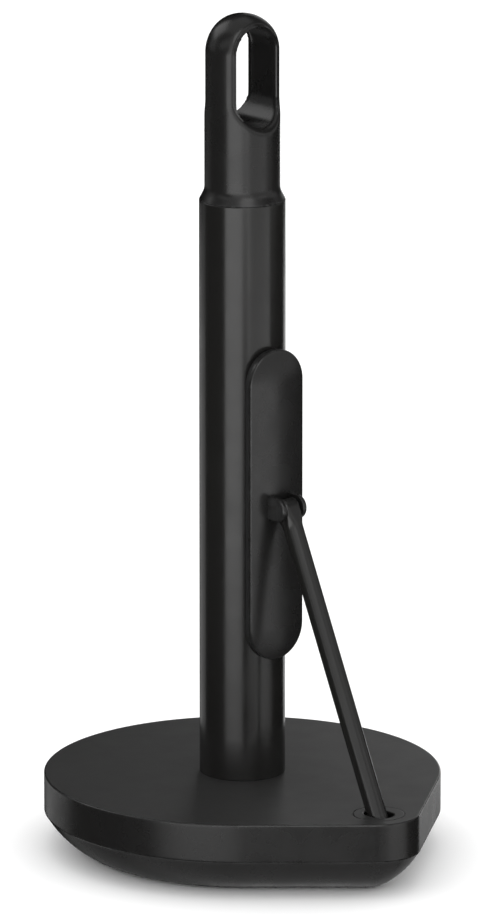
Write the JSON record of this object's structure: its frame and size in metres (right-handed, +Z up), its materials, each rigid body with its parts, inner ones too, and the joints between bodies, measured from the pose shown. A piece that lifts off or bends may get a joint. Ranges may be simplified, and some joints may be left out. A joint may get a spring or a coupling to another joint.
{
  "type": "paper towel holder",
  "caption": "Countertop paper towel holder: weighted teardrop base, round post with a finger loop, and a sprung leaning arm whose padded shoe presses against the roll.",
  "frame": {"origin": "on the post's axis, at the table that the rubber foot stands on", "axes": "+Z up along the post; +X from the post towards the arm's corner of the base; the outside is symmetric about the XZ plane"},
  "size_m": [0.2011, 0.18, 0.3847],
  "materials": {
    "black_abs": "fine moulded satin",
    "powder_coat": "satin powder coat",
    "foot_rubber": "matte",
    "liner_rubber": "soft matte",
    "cast_iron": "as cast",
    "zinc_steel": "zinc plated",
    "spring_steel": "drawn wire",
    "cast_aluminium": "turned",
    "insert_brass": "knurled"
  },
  "bodies": {
    "stand": {"foot_pad": "foot_rubber", "base_pan": "black_abs", "pan_screws": "zinc_steel", "base_weight": "cast_iron", "base_cover": "black_abs", "slot_grommet": "black_abs", "pivot_bracket": "zinc_steel", "bracket_screws": "zinc_steel", "pivot_pin": "zinc_steel", "pivot_clips": "zinc_steel", "pivot_spring": "spring_steel", "column_tube": "powder_coat", "column_plug": "cast_aluminium", "column_bolt": "zinc_steel", "column_washer": "zinc_steel", "top_plug": "cast_aluminium", "loop_stud": "zinc_steel", "loop_insert": "insert_brass", "finger_loop": "black_abs"},
    "arm": {"arm_hub": "black_abs", "arm_rod": "powder_coat"},
    "pad": {"pad_shell": "black_abs", "pad_liner": "liner_rubber", "pad_pin": "zinc_steel"}
  },
  "joints": [
    {"name": "arm_swing", "type": "hinge", "parent": "stand", "child": "arm", "pos_m": [0.09627, 0, 0.0265], "axis": [0, 1, 0], "range_deg": [0, 25], "stiffness_Nm_per_rad": 0.3, "springref_deg": -51.57, "deforming": ["pivot_spring"]},
    {"name": "pad_tilt", "type": "hinge", "parent": "arm", "child": "pad", "pos_m": [0.0312, 0, 0.1635], "axis": [0, 1, 0], "range_deg": [-25, 0]}
  ],
  "couplings": [
    {"joint": "pad_tilt", "follows": "arm_swing", "ratio": -1}
  ]
}
